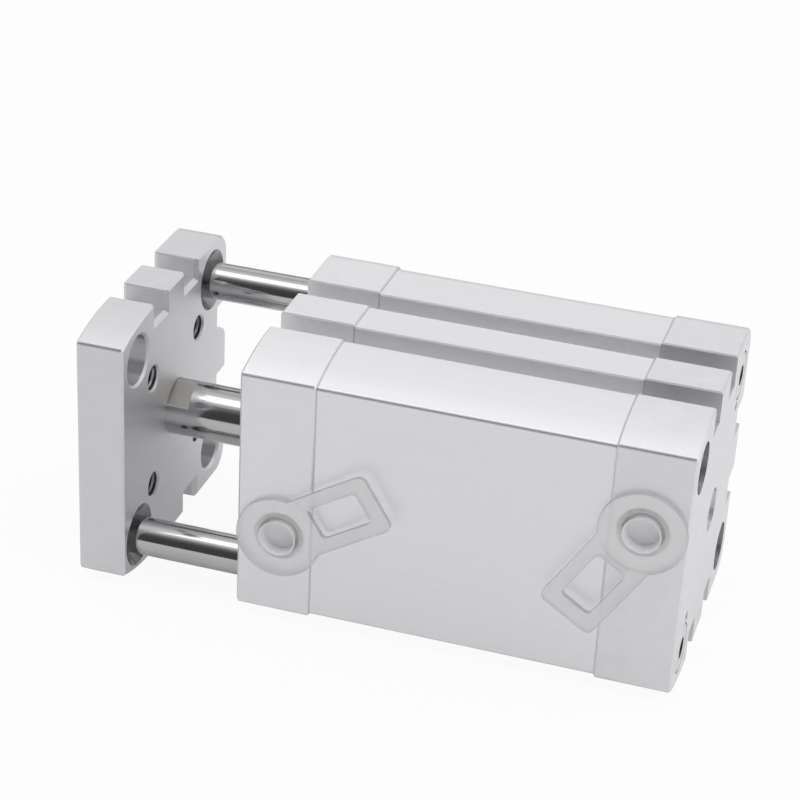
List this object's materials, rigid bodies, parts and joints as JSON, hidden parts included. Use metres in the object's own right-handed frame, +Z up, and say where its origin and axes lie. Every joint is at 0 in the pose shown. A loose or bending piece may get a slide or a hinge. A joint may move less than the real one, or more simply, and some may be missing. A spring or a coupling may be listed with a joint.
{
  "type": "guided pneumatic cylinder",
  "caption": "Compact double-acting pneumatic cylinder with a slotted square body, a piston rod and diagonal guide rods that carry a yoke plate, and plugged ports.",
  "frame": {"origin": "on the cylinder axis, at the rear mounting face", "axes": "+X points out of the rear face along the cylinder axis, the rod and yoke plate work towards -X, the ports face -Y, +Z up"},
  "size_m": [0.1245, 0.0591, 0.0576],
  "materials": {
    "cast_aluminium": "fine blasted, natural anodised",
    "extruded_aluminium": "smooth, natural anodised",
    "chromed_steel": "ground and hard chromed",
    "zinc_steel": "zinc plated",
    "bronze": "sintered bronze",
    "dark_rubber": "matt",
    "bearing_plastic": "matt",
    "magnet": "plastic-bound ferrite",
    "plug_plastic": "translucent polyethylene"
  },
  "bodies": {
    "housing": {"front_cap": "cast_aluminium", "rear_cap": "cast_aluminium", "cylinder_barrel": "extruded_aluminium", "rod_bush": "bronze", "upper_guide_bush": "bronze", "lower_guide_bush": "bronze", "rod_seal": "dark_rubber", "upper_guide_wiper": "dark_rubber", "lower_guide_wiper": "dark_rubber", "front_tube_seal": "dark_rubber", "rear_tube_seal": "dark_rubber", "front_bumper": "dark_rubber", "rear_bumper": "dark_rubber", "front_cap_screws": "zinc_steel", "rear_cap_screws": "zinc_steel", "rear_sleeve_screws": "zinc_steel", "front_locating_pins": "zinc_steel", "rear_locating_pins": "zinc_steel"},
    "rod": {"yoke_plate": "cast_aluminium", "piston_rod": "chromed_steel", "rod_end_screw": "zinc_steel", "upper_guide_rod": "chromed_steel", "lower_guide_rod": "chromed_steel", "guide_rod_screws": "zinc_steel", "piston_front_half": "extruded_aluminium", "piston_rear_half": "extruded_aluminium", "front_piston_seal": "dark_rubber", "rear_piston_seal": "dark_rubber", "piston_wear_ring": "bearing_plastic", "piston_magnet": "magnet", "piston_rod_ring": "dark_rubber", "piston_bolt": "zinc_steel"},
    "front_plug": {"front_port_plug": "plug_plastic"},
    "rear_plug": {"rear_port_plug": "plug_plastic"}
  },
  "joints": [
    {"name": "rod_slide", "type": "slide", "parent": "housing", "child": "rod", "axis": [-1, 0, 0], "range_m": [-0.0185, 0.0265]},
    {"name": "front_plug_pull", "type": "slide", "parent": "housing", "child": "front_plug", "axis": [0, -1, 0], "range_m": [0, 0.012]},
    {"name": "rear_plug_pull", "type": "slide", "parent": "housing", "child": "rear_plug", "axis": [0, -1, 0], "range_m": [0, 0.012]}
  ]
}
